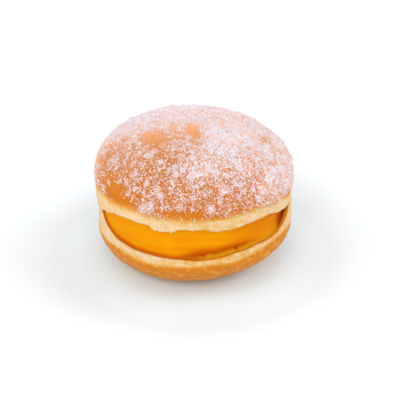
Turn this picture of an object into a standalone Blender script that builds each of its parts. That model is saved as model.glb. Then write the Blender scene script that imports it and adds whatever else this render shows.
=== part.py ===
"""Berliner doughnut, cut through its pale waist and filled with custard.

Metres, +Z up. The cut opens at the front, toward -Y, and stays shut round the back. The
doughnut rests on a small flat spot at z = 0, and the Z axis runs up through its middle.
"""

import math
import random

import bmesh
import bpy
from mathutils import Euler, Matrix, Vector, noise
from mathutils.bvhtree import BVHTree

OBJECT_NAME = "berliner_doughnut"
SEED = 31

# Outline of the whole doughnut, as radii and heights of a turned form
UPPER_RADIUS = 0.0438
LOWER_RADIUS = 0.0432
BASE_RADIUS = 0.0226
UNDERSIDE_TOP = 0.0158
UNDERSIDE_EXPONENT = 1.46
DOME_START = 0.0428
DOME_RISE = 0.0199
DOME_EXPONENT = 2.3
WAIST_DEPTH = 0.0003
WAIST_SPAN = 0.0055
LOWER_SHIFT = 0.0008
BASE_LEAN = Vector((-0.0034, 0.0006, 0.0))
LEAN_TOP = 0.0200

# The cut: its height where it is shut, and how far its lips part at the mouth
CUT_HEIGHT = 0.0285
CUT_GAP = 0.0003
MOUTH_TURN = math.radians(-8.0)
UPPER_LIP_RISE = 0.0070
UPPER_LIP_HINGE = 0.0085
UPPER_LIP_REACH = 0.0215
UPPER_LIP_EASE = 1.2
LOWER_LIP_DROP = 0.0077
LOWER_LIP_HINGE = 0.0085
LOWER_LIP_REACH = 0.0235
LOWER_LIP_EASE = 2.4
LOWER_LIP_SLANT = 0.0019
SLANT_REACH = 0.020
HINGE_EASE = 0.08
LIP_ROUND = 0.0012
LIP_CRAG = 0.00045
LOWER_BEND_START = 0.006

# The shallow hollow that each cut face has under the custard
HOLLOW_DEPTH = 0.0013
HOLLOW_EDGE = 0.0423
HOLLOW_FLOOR = 0.0392

# Custard: how far out it reaches, by direction
CUSTARD_RADIUS = 0.0405
CUSTARD_BACK_RADIUS = 0.0370
CUSTARD_GAP = 0.0004
CAVITY_DIRECTION = math.radians(64.0)
CAVITY_WIDTH = math.radians(14.0)
CAVITY_DEPTH = 0.0026

# Unevenness of the hand-made dough
SWELL = 0.0008
SWELL_SCALE = 32.0
DENT = 0.0005
DENT_SCALE = 70.0

# The flatter shoulder of the dome, at the right toward the back
SHOULDER_PLACE = Vector((0.0340, 0.0140, 0.0510))
SHOULDER_SPAN = 0.020
SHOULDER_SINK = Vector((-0.0010, -0.0006, -0.0010))

# Sugar lumps baked onto the dome
LUMP_COUNT = 140
LUMP_SPACING = 0.0026
LUMP_RADIUS = (0.0006, 0.0012)
LUMP_FLATNESS = (0.45, 0.7)
LUMP_SUNK = 0.25
LUMP_DRAWS = 6000
SUGAR_EDGE = 0.0445

# Fineness of the turned forms
ROUND_STEPS = 64
DOME_POINTS = 10
UNDERSIDE_POINTS = 7
INNER_RINGS = (0.0375, 0.0300, 0.0230, 0.0160, 0.0080)
CREASE_ANGLE = math.radians(30.0)
MERGE = 0.00005


def smooth_ramp(value):
    """0 to 1 with level ends, while the value runs from 0 to 1."""
    clamped = min(max(value, 0.0), 1.0)
    return clamped * clamped * (3.0 - 2.0 * clamped)


def superellipse(fraction, exponent):
    """Half-width of a rounded form at a fraction of its height."""
    clamped = min(max(fraction, 0.0), 1.0)
    return (1.0 - clamped ** exponent) ** (1.0 / exponent)


def wall_radius(height):
    """Outer radius of the whole doughnut at a height."""
    if height < UNDERSIDE_TOP:
        spread = superellipse(1.0 - height / UNDERSIDE_TOP, UNDERSIDE_EXPONENT)
        return BASE_RADIUS + (LOWER_RADIUS - BASE_RADIUS) * spread
    if height > DOME_START:
        return UPPER_RADIUS * superellipse((height - DOME_START) / DOME_RISE, DOME_EXPONENT)
    blend = smooth_ramp((height - UNDERSIDE_TOP) / (DOME_START - UNDERSIDE_TOP))
    pinch = WAIST_DEPTH * math.exp(-((height - CUT_HEIGHT) / WAIST_SPAN) ** 2)
    return LOWER_RADIUS + (UPPER_RADIUS - LOWER_RADIUS) * blend - pinch


def opening(x, y, hinge, reach, ease):
    """0 where the cut is shut, rising to 1 where its lip is fully parted."""
    depth = x * math.sin(MOUTH_TURN) - y * math.cos(MOUTH_TURN)
    fraction = min(max((depth - hinge) / reach, 0.0), 1.0)
    eased = (1.0 + HINGE_EASE) * fraction * fraction / (fraction + HINGE_EASE)
    return 1.0 - max(1.0 - eased, 0.0) ** ease


def hollow(x, y):
    """Depth of the hollow in a cut face, which fades out toward the lips."""
    return HOLLOW_DEPTH * smooth_ramp((HOLLOW_EDGE - math.hypot(x, y)) / (HOLLOW_EDGE - HOLLOW_FLOOR))


def upper_lip(x, y):
    """Height of the upper cut face at its lip."""
    opened = opening(x, y, UPPER_LIP_HINGE, UPPER_LIP_REACH, UPPER_LIP_EASE)
    crag = noise.noise(Vector((x, y, 0.0)) * 190.0) * LIP_CRAG
    return CUT_HEIGHT + CUT_GAP / 2 + opened * (UPPER_LIP_RISE + crag)


def lower_lip(x, y):
    """Height of the lower cut face at its lip."""
    opened = opening(x, y, LOWER_LIP_HINGE, LOWER_LIP_REACH, LOWER_LIP_EASE)
    crag = noise.noise(Vector((x, y, 0.05)) * 150.0) * LIP_CRAG
    slant = LOWER_LIP_SLANT * smooth_ramp(x / SLANT_REACH)
    return CUT_HEIGHT - CUT_GAP / 2 - opened * (LOWER_LIP_DROP - slant + crag)


def uneven(point):
    """The point moved by the slow swells of the dough, which leave the flat spot alone."""
    hold = smooth_ramp(point.z / CUT_HEIGHT)
    swell = noise.noise(point * SWELL_SCALE) * SWELL / max(math.hypot(point.x, point.y), BASE_RADIUS)
    dent = noise.noise(point * DENT_SCALE + Vector((0.0, 0.0, 9.0))) * DENT
    lean = BASE_LEAN * (1.0 - smooth_ramp(point.z / LEAN_TOP))
    from_shoulder = (point - SHOULDER_PLACE).length / SHOULDER_SPAN
    sink = SHOULDER_SINK * hold * math.exp(-(from_shoulder ** 2))
    spread = 1.0 + hold * swell
    return Vector((point.x * spread, point.y * spread, point.z + hold * dent)) + lean + sink


def dome_profile():
    """Upper half at +X: down the dome and the pale collar, then in along the cut face."""
    points = []
    for index in range(DOME_POINTS + 1):
        angle = 0.5 * math.pi * (1.0 - index / DOME_POINTS)
        radius = UPPER_RADIUS * max(math.cos(angle), 0.0) ** (2.0 / DOME_EXPONENT)
        height = DOME_START + DOME_RISE * math.sin(angle) ** (2.0 / DOME_EXPONENT)
        points.append((radius if index else 0.0, height))
    for share in (0.7, 0.4, 0.2):
        height = CUT_HEIGHT + share * (DOME_START - CUT_HEIGHT)
        points.append((wall_radius(height), height))
    edge = wall_radius(CUT_HEIGHT)
    points.append((edge, CUT_HEIGHT + LIP_ROUND))
    points.append((edge - 0.3 * LIP_ROUND, CUT_HEIGHT + 0.3 * LIP_ROUND))
    points.append((edge - LIP_ROUND, CUT_HEIGHT))
    return points + [(radius, CUT_HEIGHT) for radius in cut_face_rings()]


def base_profile():
    """Lower half at +X: out along the cut face, then down the collar and the underside."""
    edge = wall_radius(CUT_HEIGHT)
    points = [(radius, CUT_HEIGHT) for radius in reversed(cut_face_rings())]
    points.append((edge - LIP_ROUND, CUT_HEIGHT))
    points.append((edge - 0.3 * LIP_ROUND, CUT_HEIGHT - 0.3 * LIP_ROUND))
    points.append((edge, CUT_HEIGHT - LIP_ROUND))
    for share in (0.75, 0.45, 0.2):
        height = UNDERSIDE_TOP + share * (CUT_HEIGHT - UNDERSIDE_TOP)
        points.append((wall_radius(height), height))
    for index in range(UNDERSIDE_POINTS + 1):
        angle = 0.5 * math.pi * index / UNDERSIDE_POINTS
        spread = max(math.cos(angle), 0.0) ** (2.0 / UNDERSIDE_EXPONENT)
        radius = BASE_RADIUS + (LOWER_RADIUS - BASE_RADIUS) * spread
        height = UNDERSIDE_TOP * (1.0 - math.sin(angle) ** (2.0 / UNDERSIDE_EXPONENT))
        points.append((radius, height))
    return points + [(0.5 * BASE_RADIUS, 0.0), (0.0, 0.0)]


def cut_face_rings():
    """Radii of the cut face's rings, from its edge to its middle."""
    return [HOLLOW_EDGE - 0.0008, 0.5 * (HOLLOW_EDGE + HOLLOW_FLOOR), HOLLOW_FLOOR, *INNER_RINGS, 0.0]


def custard_profile():
    """Custard at +X, its height running from 1 at the top face to 0 at the bottom face."""
    bulge = [(-0.0013, 1.0), (-0.0005, 0.86), (0.0, 0.6), (0.0, 0.34), (0.0, 0.12), (-0.0005, 0.0)]
    side = [(CUSTARD_RADIUS + offset, share) for offset, share in bulge]
    top = [(radius, 1.0) for radius in reversed((*INNER_RINGS, 0.0))]
    bottom = [(radius, 0.0) for radius in (*INNER_RINGS, 0.0)]
    return top + side + bottom


def turned_mesh(name, profile):
    """Mesh made by turning a profile at +X round the Z axis."""
    outline = bpy.data.meshes.new(f"{name}_outline")
    corners = [(radius, 0.0, height) for radius, height in profile]
    outline.from_pydata(corners, [(index, index + 1) for index in range(len(corners) - 1)], [])
    turned = bpy.data.objects.new(f"{name}_outline", outline)
    bpy.context.scene.collection.objects.link(turned)
    screw = turned.modifiers.new("Turn", "SCREW")
    screw.axis = "Z"
    screw.angle = 2.0 * math.pi
    screw.steps = ROUND_STEPS
    screw.render_steps = ROUND_STEPS
    screw.use_merge_vertices = True
    screw.merge_threshold = MERGE
    mesh = evaluated_mesh(turned, name)
    bpy.data.objects.remove(turned)
    return mesh


def evaluated_mesh(source, name):
    """New mesh of an object with its modifiers applied."""
    bpy.context.view_layer.update()
    depsgraph = bpy.context.evaluated_depsgraph_get()
    mesh = bpy.data.meshes.new_from_object(source.evaluated_get(depsgraph))
    mesh.name = name
    return mesh


def finished_object(name, mesh, material, parent, collection):
    """Smooth-shaded object with its material, carried by the parent."""
    mesh.materials.clear()
    mesh.materials.append(material)
    shade(mesh)
    piece = bpy.data.objects.new(name, mesh)
    piece.parent = parent
    collection.objects.link(piece)
    return piece


def shade(mesh):
    """Smooth shading that keeps the corners of the sugar lumps and the lips crisp."""
    mesh.shade_smooth()
    mesh.set_sharp_from_angle(angle=CREASE_ANGLE)


def plain_material(name, colour, roughness):
    """Principled material of one colour, not metallic."""
    material = bpy.data.materials.new(name)
    material.use_nodes = True
    shader = material.node_tree.nodes["Principled BSDF"]
    shader.inputs["Base Color"].default_value = (*colour, 1.0)
    shader.inputs["Roughness"].default_value = roughness
    shader.inputs["Metallic"].default_value = 0.0
    return material


def shape_top_half(mesh):
    """Raise the upper lip at the mouth, sink the hollow, and make the form uneven."""
    for vertex in mesh.vertices:
        x, y, z = vertex.co
        rise = upper_lip(x, y) - CUT_HEIGHT
        if z < CUT_HEIGHT + MERGE:
            vertex.co = uneven(Vector((x, y, CUT_HEIGHT + rise + hollow(x, y))))
        elif z < DOME_START:
            fade = 1.0 - smooth_ramp((z - CUT_HEIGHT) / (DOME_START - CUT_HEIGHT))
            vertex.co = uneven(on_wall(vertex.co, z + rise * fade))
        else:
            vertex.co = uneven(vertex.co)


def shape_bottom_half(mesh):
    """Lower the lip at the mouth, sink the hollow, shift it sideways, and make it uneven."""
    for vertex in mesh.vertices:
        x, y, z = vertex.co
        drop = CUT_HEIGHT - lower_lip(x, y)
        if z > CUT_HEIGHT - MERGE:
            shaped = Vector((x, y, CUT_HEIGHT - drop - hollow(x, y)))
        else:
            fade = smooth_ramp((z - LOWER_BEND_START) / (CUT_HEIGHT - LOWER_BEND_START))
            shaped = on_wall(vertex.co, z - drop * fade)
        vertex.co = uneven(shaped + Vector((LOWER_SHIFT, 0.0, 0.0)))


def on_wall(point, height):
    """The point slid along the outer wall to a height, as far in from the wall as before."""
    radius = math.hypot(point.x, point.y)
    if radius < MERGE:
        return Vector((0.0, 0.0, height))
    moved = radius + wall_radius(height) - wall_radius(point.z)
    return Vector((point.x * moved / radius, point.y * moved / radius, height))


def custard_reach(x, y):
    """Outer radius of the custard in the direction of a point."""
    direction = math.atan2(x, -y)
    toward_back = smooth_ramp((abs(direction) - math.radians(90.0)) / math.radians(35.0))
    cavity = math.exp(-((direction - CAVITY_DIRECTION) / CAVITY_WIDTH) ** 2)
    reach = CUSTARD_RADIUS + (CUSTARD_BACK_RADIUS - CUSTARD_RADIUS) * toward_back
    return reach - CAVITY_DEPTH * cavity


def shape_custard(mesh):
    """Fill the space between the two cut faces, out to the custard's reach."""
    for vertex in mesh.vertices:
        share = vertex.co.z
        scale = custard_reach(vertex.co.x, vertex.co.y) / CUSTARD_RADIUS
        x = vertex.co.x * scale
        y = vertex.co.y * scale
        low = lower_lip(x, y) - hollow(x, y) + CUSTARD_GAP
        high = upper_lip(x, y) + hollow(x, y) - CUSTARD_GAP
        shift = LOWER_SHIFT * (1.0 - share)
        vertex.co = uneven(Vector((x + shift, y, low + share * (high - low))))


def sugar_cover(point):
    """How thickly sugar lies at a place on the dome, from 0 to 1."""
    if point.z < SUGAR_EDGE:
        return 0.0
    thick = math.exp(-((point.x - 0.010) ** 2 + (point.y + 0.016) ** 2) / 0.021 ** 2)
    cover = 0.35 + 0.65 * thick
    for place, size in (
        (Vector((-0.0367, -0.0223, 0.0465)), 0.0075),
        (Vector((-0.0005, -0.0035, 0.0626)), 0.0045),
        (Vector((-0.0195, -0.0050, 0.0605)), 0.0045),
    ):
        cover *= 1.0 - math.exp(-((point - place).length / size) ** 4)
    return cover


def lump_places(surface):
    """Points and normals on the dome for the sugar lumps, spaced apart."""
    draw = random.Random(SEED)
    places = []
    for _ in range(LUMP_DRAWS):
        radius = UPPER_RADIUS * math.sqrt(draw.random())
        angle = draw.uniform(-math.pi, math.pi)
        keep = draw.random()
        start = Vector((radius * math.cos(angle), radius * math.sin(angle), 2.0 * DOME_START))
        point, normal, _, _ = surface.ray_cast(start, Vector((0.0, 0.0, -1.0)))
        if point is None or keep > sugar_cover(point):
            continue
        if any((point - other).length < LUMP_SPACING for other, _ in places):
            continue
        places.append((point, normal))
        if len(places) == LUMP_COUNT:
            break
    return places


def add_lumps(top_half_mesh, collection):
    """Small faceted lumps of sugar, sunk a little into the dome."""
    draw = random.Random(SEED + 1)
    dome = bmesh.new()
    dome.from_mesh(top_half_mesh)
    surface = BVHTree.FromBMesh(dome)
    for index, (point, normal) in enumerate(lump_places(surface)):
        size = draw.uniform(*LUMP_RADIUS)
        flatness = draw.uniform(*LUMP_FLATNESS)
        stretch = draw.uniform(0.8, 1.3)
        spin = Euler((0.0, 0.0, draw.uniform(0.0, 2.0 * math.pi))).to_matrix().to_4x4()
        turn = normal.to_track_quat("Z", "Y").to_matrix().to_4x4()
        form = Matrix.Diagonal((size * stretch, size / stretch, size * flatness, 1.0))
        centre = point - normal * size * flatness * LUMP_SUNK
        lump = bmesh.new()
        bmesh.ops.create_icosphere(lump, subdivisions=1, radius=1.0)
        bmesh.ops.transform(lump, matrix=Matrix.Translation(centre) @ turn @ spin @ form, verts=lump.verts)
        mesh = bpy.data.meshes.new(f"sugar_lump_{index}")
        lump.to_mesh(mesh)
        lump.free()
        collection.objects.link(bpy.data.objects.new(mesh.name, mesh))
    dome.free()


def join_lumps(top_half, lumps):
    """Join the lumps to the top half in one Boolean union, and remove their objects."""
    union = top_half.modifiers.new("Sugar", "BOOLEAN")
    union.operation = "UNION"
    union.operand_type = "COLLECTION"
    union.collection = lumps
    union.solver = "EXACT"
    joined = evaluated_mesh(top_half, top_half.name)
    top_half.modifiers.clear()
    top_half.data = joined
    shade(joined)
    for lump in list(lumps.objects):
        bpy.data.objects.remove(lump)
    bpy.data.collections.remove(lumps)


def main():
    """Build the two halves of dough, the custard and the sugar lumps."""
    for leftover in list(bpy.data.objects):
        bpy.data.objects.remove(leftover)
    collection = bpy.data.collections.new(OBJECT_NAME)
    bpy.context.scene.collection.children.link(collection)
    lumps = bpy.data.collections.new("sugar_lumps")
    bpy.context.scene.collection.children.link(lumps)
    carrier = bpy.data.objects.new(OBJECT_NAME, None)
    collection.objects.link(carrier)

    crust = plain_material("sugared_crust", (0.80, 0.42, 0.17), 0.6)
    underside = plain_material("browned_crust", (0.66, 0.33, 0.10), 0.6)
    cream = plain_material("custard", (0.90, 0.40, 0.02), 0.25)

    bottom_mesh = turned_mesh("bottom_half", base_profile())
    shape_bottom_half(bottom_mesh)
    finished_object("bottom_half", bottom_mesh, underside, carrier, collection)

    custard_mesh = turned_mesh("filling", custard_profile())
    shape_custard(custard_mesh)
    finished_object("filling", custard_mesh, cream, carrier, collection)

    top_mesh = turned_mesh("top_half", dome_profile())
    shape_top_half(top_mesh)
    top_half = finished_object("top_half", top_mesh, crust, carrier, collection)
    add_lumps(top_mesh, lumps)
    join_lumps(top_half, lumps)


main()
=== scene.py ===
"""Berliner doughnut with its finishes: fried crust, pale crumb, custard and scattered sugar.

Metres, +Z up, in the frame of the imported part. Each half of the dough and the custard is a
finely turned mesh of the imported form, and the sugar is real grains that lie on the dome.
"""

import logging
import math
import random
from dataclasses import dataclass
from enum import Enum

import bmesh
import bpy
import numpy as np
from mathutils import Matrix, Vector, noise


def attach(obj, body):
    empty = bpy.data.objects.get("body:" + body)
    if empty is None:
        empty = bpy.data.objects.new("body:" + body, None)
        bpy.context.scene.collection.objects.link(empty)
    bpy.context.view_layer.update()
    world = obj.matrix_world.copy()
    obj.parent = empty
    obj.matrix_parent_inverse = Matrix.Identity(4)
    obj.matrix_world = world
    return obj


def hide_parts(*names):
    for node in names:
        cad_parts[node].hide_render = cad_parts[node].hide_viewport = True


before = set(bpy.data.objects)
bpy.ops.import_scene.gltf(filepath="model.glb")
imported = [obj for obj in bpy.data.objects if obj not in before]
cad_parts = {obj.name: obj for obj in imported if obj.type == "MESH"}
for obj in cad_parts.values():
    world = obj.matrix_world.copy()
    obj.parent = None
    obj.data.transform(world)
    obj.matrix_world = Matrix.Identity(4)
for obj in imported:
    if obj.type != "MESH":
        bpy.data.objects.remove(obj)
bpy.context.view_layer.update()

BODY = "root"
TINY = 0.00005
SEAM = 0.000001
SECTORS = 96
LAMP_COLOUR = (0.95, 1.0, 1.03)
Colour = tuple[float, float, float, float]
Socket = bpy.types.NodeSocket
log = logging.getLogger("berliner")


class Slot(Enum):
    """The pieces' material slots."""

    SUGARED_CRUST = "sugared_crust"
    BROWNED_CRUST = "browned_crust"
    CUSTARD = "custard"


class Node(Enum):
    """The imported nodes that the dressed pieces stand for."""

    BOTTOM_HALF = "bottom_half"
    FILLING = "filling"
    TOP_HALF = "top_half"


class Layer(Enum):
    """Attributes painted on the meshes, which the materials read."""

    BAKE = "bake"
    DUST = "dust"
    SOAK = "soak"
    PAINTED_SHADE = "painted_shade"
    # Whiteness of the sugar grains, and on the dome fine sugar with a painted back-light sheen
    SUGAR_AND_SHEEN = "sugar_and_sheen"


class GrainShape(Enum):
    """How a grain of sugar is made."""

    SPLINTER = "splinter"
    CRYSTAL = "crystal"


def smooth_ramp(value: float) -> float:
    """0 to 1 with level ends, while the value runs from 0 to 1."""
    clamped = min(max(value, 0.0), 1.0)
    return clamped * clamped * (3.0 - 2.0 * clamped)


def ramp_between(value: float, low: float, high: float) -> float:
    """0 to 1 with level ends, while the value runs from one bound to the other."""
    return smooth_ramp((value - low) / (high - low))


def bell(offset: float) -> float:
    """1 in the middle, falling smoothly toward 0 as the offset grows past 1 either way."""
    return math.exp(-(offset ** 2))


def superellipse(fraction: float, exponent: float) -> float:
    """Half-width of a rounded form at a fraction of its height."""
    clamped = min(max(fraction, 0.0), 1.0)
    return (1.0 - clamped ** exponent) ** (1.0 / exponent)


def linear(red: int, green: int, blue: int) -> Colour:
    """Scene-linear colour of a display colour.

    Args:
        red: Display red, 0 to 255.
        green: Display green, 0 to 255.
        blue: Display blue, 0 to 255.

    Returns:
        The colour with an alpha of 1.
    """
    def channel(value: int) -> float:
        """Scene-linear value of one channel."""
        share = value / 255.0
        return share / 12.92 if share <= 0.04045 else ((share + 0.055) / 1.055) ** 2.4

    return channel(red), channel(green), channel(blue), 1.0


@dataclass(frozen=True)
class Wrinkle:
    """One size of relief on a surface."""

    scale: float
    depth: float
    offset: float = 0.0

    def at(self, point: Vector) -> float:
        """Height of the relief at a point."""
        return noise.noise(point * self.scale + Vector((self.offset, 0.0, 0.0))) * self.depth


@dataclass(frozen=True)
class Relief:
    """Fine relief of a half: one kind on browned crust, another on pale crumb."""

    crust: tuple[Wrinkle, ...]
    crumb: tuple[Wrinkle, ...]

    def at(self, point: Vector, baked: float) -> float:
        """Height of the relief at a point that is browned so far."""
        crust = sum(wrinkle.at(point) for wrinkle in self.crust)
        crumb = sum(wrinkle.at(point) for wrinkle in self.crumb)
        return baked * crust + (1.0 - baked) * crumb


def bearing(x: float, y: float) -> float:
    """Direction of a place round the doughnut in degrees, 0 at the mouth and positive to the right."""
    return math.degrees(math.atan2(x, -y))


def outward(azimuth: float, elevation: float) -> Vector:
    """Direction from the doughnut toward a bearing and a height above the table, in degrees."""
    turned, raised = math.radians(azimuth), math.radians(elevation)
    level = math.cos(raised)
    return Vector((math.sin(turned) * level, -math.cos(turned) * level, math.sin(raised)))


@dataclass(frozen=True)
class Rise:
    """A smooth rise from 0 to 1 over a span that begins at a value, and runs down where negative."""

    start: float
    span: float

    def at(self, value: float) -> float:
        """Height of the rise at a value."""
        return smooth_ramp((value - self.start) / self.span)


@dataclass(frozen=True)
class Stretch:
    """1 along a stretch of values, between a smooth rise at its start and a smooth fall at its end."""

    rise: Rise
    fall: Rise

    def at(self, value: float) -> float:
        """How far a value lies within the stretch, from 0 to 1."""
        return self.rise.at(value) * (1.0 - self.fall.at(value))


@dataclass(frozen=True)
class DoughForm:
    """Outline of the whole doughnut, the cut through its waist, and its slow unevenness."""

    upper_radius: float = 0.0438
    lower_radius: float = 0.0432
    base_radius: float = 0.0226
    underside_top: float = 0.0158
    underside_exponent: float = 1.46
    dome_start: float = 0.0428
    dome_rise: float = 0.0199
    dome_exponent: float = 2.3
    waist_depth: float = 0.0003
    waist_span: float = 0.0055
    lower_shift: float = 0.0008
    base_lean: tuple[float, float, float] = (-0.0034, 0.0006, 0.0)
    lean_top: float = 0.0200
    cut_height: float = 0.0285
    cut_gap: float = 0.0003
    mouth_turn: float = math.radians(-8.0)
    upper_lip_rise: float = 0.0070
    upper_lip_hinge: float = 0.0085
    upper_lip_reach: float = 0.0215
    upper_lip_ease: float = 1.2
    lower_lip_drop: float = 0.0077
    lower_lip_hinge: float = 0.0085
    lower_lip_reach: float = 0.0235
    lower_lip_ease: float = 2.4
    lower_lip_slant: float = 0.0019
    slant_reach: float = 0.020
    hinge_ease: float = 0.08
    lower_bend_start: float = 0.006
    lip_round: float = 0.0012
    lip_crag: float = 0.00045
    upper_crag_scale: float = 190.0
    lower_crag_scale: float = 150.0
    lower_crag_layer: float = 0.05
    hollow_depth: float = 0.0013
    hollow_edge: float = 0.0423
    hollow_floor: float = 0.0392
    swell: float = 0.0008
    swell_scale: float = 32.0
    dent: float = 0.0005
    dent_scale: float = 70.0
    dent_layer: float = 9.0
    shoulder_place: tuple[float, float, float] = (0.0340, 0.0140, 0.0510)
    shoulder_span: float = 0.020
    shoulder_sink: tuple[float, float, float] = (-0.0010, -0.0006, -0.0010)

    def wall_radius(self, height: float) -> float:
        """Outer radius at a height, before the dough is made uneven."""
        if height < self.underside_top:
            spread = superellipse(1.0 - height / self.underside_top, self.underside_exponent)
            return self.base_radius + (self.lower_radius - self.base_radius) * spread
        if height > self.dome_start:
            rise = (height - self.dome_start) / self.dome_rise
            return self.upper_radius * superellipse(rise, self.dome_exponent)
        blend = ramp_between(height, self.underside_top, self.dome_start)
        pinch = self.waist_depth * bell((height - self.cut_height) / self.waist_span)
        return self.lower_radius + (self.upper_radius - self.lower_radius) * blend - pinch

    def opening(self, x: float, y: float, hinge: float, reach: float, ease: float) -> float:
        """0 where the cut is shut, rising to 1 where its lip is fully parted."""
        depth = x * math.sin(self.mouth_turn) - y * math.cos(self.mouth_turn)
        fraction = min(max((depth - hinge) / reach, 0.0), 1.0)
        eased = (1.0 + self.hinge_ease) * fraction * fraction / (fraction + self.hinge_ease)
        return 1.0 - max(1.0 - eased, 0.0) ** ease

    def hollow(self, x: float, y: float) -> float:
        """Depth of the hollow in a cut face, which fades out toward the lips."""
        return self.hollow_depth * ramp_between(math.hypot(x, y), self.hollow_edge, self.hollow_floor)

    def upper_lip(self, x: float, y: float) -> float:
        """Height of the upper cut face at its lip."""
        opened = self.opening(x, y, self.upper_lip_hinge, self.upper_lip_reach, self.upper_lip_ease)
        crag = noise.noise(Vector((x, y, 0.0)) * self.upper_crag_scale) * self.lip_crag
        return self.cut_height + self.cut_gap / 2 + opened * (self.upper_lip_rise + crag)

    def lower_lip(self, x: float, y: float) -> float:
        """Height of the lower cut face at its lip."""
        opened = self.opening(x, y, self.lower_lip_hinge, self.lower_lip_reach, self.lower_lip_ease)
        torn = Vector((x, y, self.lower_crag_layer)) * self.lower_crag_scale
        crag = noise.noise(torn) * self.lip_crag
        slant = self.lower_lip_slant * smooth_ramp(x / self.slant_reach)
        return self.cut_height - self.cut_gap / 2 - opened * (self.lower_lip_drop - slant + crag)

    def uneven(self, point: Vector) -> Vector:
        """The point moved by the slow swells of the dough, which leave the flat spot alone."""
        hold = smooth_ramp(point.z / self.cut_height)
        girth = max(math.hypot(point.x, point.y), self.base_radius)
        spread = 1.0 + hold * noise.noise(point * self.swell_scale) * self.swell / girth
        dent = noise.noise(point * self.dent_scale + Vector((0.0, 0.0, self.dent_layer))) * self.dent
        lean = Vector(self.base_lean) * (1.0 - smooth_ramp(point.z / self.lean_top))
        from_shoulder = (point - Vector(self.shoulder_place)).length / self.shoulder_span
        sink = Vector(self.shoulder_sink) * hold * bell(from_shoulder)
        return Vector((point.x * spread, point.y * spread, point.z + hold * dent)) + lean + sink

    def on_wall(self, point: Vector, height: float) -> Vector:
        """The point slid along the outer wall to a height, as far in from the wall as before."""
        radius = math.hypot(point.x, point.y)
        if radius < TINY:
            return Vector((0.0, 0.0, height))
        moved = radius + self.wall_radius(height) - self.wall_radius(point.z)
        return Vector((point.x * moved / radius, point.y * moved / radius, height))


def spun(profile: list[tuple[float, float]], slices: int) -> bmesh.types.BMesh:
    """Closed shell made by spinning a profile round the Z axis.

    Args:
        profile: Radii and heights, from the top of the axis round to its bottom.
        slices: How many slices each sector of the full turn has.

    Returns:
        The shell, with its seam and poles merged and its faces outward.
    """
    shell = bmesh.new()
    chain = [shell.verts.new((radius, 0.0, height)) for radius, height in profile]
    edges = [shell.edges.new(pair) for pair in zip(chain, chain[1:])]
    bmesh.ops.spin(
        shell,
        geom=chain + edges,
        cent=(0.0, 0.0, 0.0),
        axis=(0.0, 0.0, 1.0),
        dvec=(0.0, 0.0, 0.0),
        angle=2.0 * math.pi,
        steps=SECTORS,
        use_merge=True,
        use_normal_flip=False,
        use_duplicate=False,
    )
    bmesh.ops.remove_doubles(shell, verts=shell.verts, dist=SEAM)
    shell = in_order(shell)
    bmesh.ops.subdivide_edges(shell, edges=ring_edges(shell), cuts=slices - 1, use_grid_fill=True)
    for vertex in shell.verts:
        vertex.co = rounded_off(vertex.co)
    bmesh.ops.recalc_face_normals(shell, faces=shell.faces)
    return shell


def in_order(shell: bmesh.types.BMesh) -> bmesh.types.BMesh:
    """The same shell with its faces in the order of their corners, which a spin leaves to chance."""
    loops = []
    for face in shell.faces:
        loop = [vertex.index for vertex in face.verts]
        first = loop.index(min(loop))
        loops.append(loop[first:] + loop[:first])
    ordered = bmesh.new()
    corners = [ordered.verts.new(vertex.co) for vertex in shell.verts]
    for loop in sorted(loops):
        ordered.faces.new([corners[index] for index in loop])
    shell.free()
    return ordered


def ring_edges(shell: bmesh.types.BMesh) -> list[bmesh.types.BMEdge]:
    """Edges that run round the Z axis, whose two ends share a radius and a height."""
    rings = []
    for edge in shell.edges:
        start, end = (vertex.co for vertex in edge.verts)
        if abs(start.z - end.z) < SEAM and abs(start.xy.length - end.xy.length) < SEAM:
            rings.append(edge)
    return rings


def rounded_off(point: Vector) -> Vector:
    """The point of a straight chord moved out to the circle that the chord cuts off."""
    half = math.pi / SECTORS
    offset = math.atan2(point.y, point.x) % (2.0 * half) - half
    stretch = math.cos(offset) / math.cos(half)
    return Vector((point.x * stretch, point.y * stretch, point.z))


def spread_points(count: int) -> list[float]:
    """Even shares from 0 to 1, both ends included."""
    return [index / count for index in range(count + 1)]


def finished(name: str, shell: bmesh.types.BMesh, material: bpy.types.Material) -> bpy.types.Object:
    """Object of a shell, smooth-shaded and dressed in one material."""
    mesh = bpy.data.meshes.new(name)
    shell.to_mesh(mesh)
    shell.free()
    mesh.shade_smooth()
    mesh.materials.append(material)
    piece = bpy.data.objects.new(name, mesh)
    bpy.context.scene.collection.objects.link(piece)
    return piece


def place(piece: bpy.types.Object, slot: Slot, *nodes: Node) -> None:
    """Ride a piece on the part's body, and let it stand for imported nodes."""
    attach(piece, BODY)
    if nodes:
        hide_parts(*[node.value for node in nodes])
    log.info("%s: %d faces", piece.name, len(piece.data.polygons))


@dataclass(frozen=True)
class BakeLine:
    """Height at which crust gives way to pale crumb, by direction round the doughnut."""

    height: float
    width: float
    tilts: tuple[tuple[float, float, float], ...]
    wavers: tuple[Wrinkle, ...] = (Wrinkle(110.0, 0.0005), Wrinkle(420.0, 0.0003, 7.0))
    front_tone: float = 0.17
    tone_spread: float = 38.0

    def bake(self, point: Vector, above: bool) -> float:
        """How far the crust is browned at a point.

        Args:
            point: Place on the outside of the dough.
            above: Whether the browned side is above the line.

        Returns:
            0 on pale crumb, 1 on browned crust.
        """
        direction = bearing(point.x, point.y)
        line = self.height + sum(waver.at(point) for waver in self.wavers)
        for centre, spread, rise in self.tilts:
            line += rise * bell((direction - centre) / spread)
        side = 1.0 if above else -1.0
        least = self.front_tone * bell(direction / self.tone_spread)
        return max(smooth_ramp(0.5 + side * (point.z - line) / self.width), least)


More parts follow.
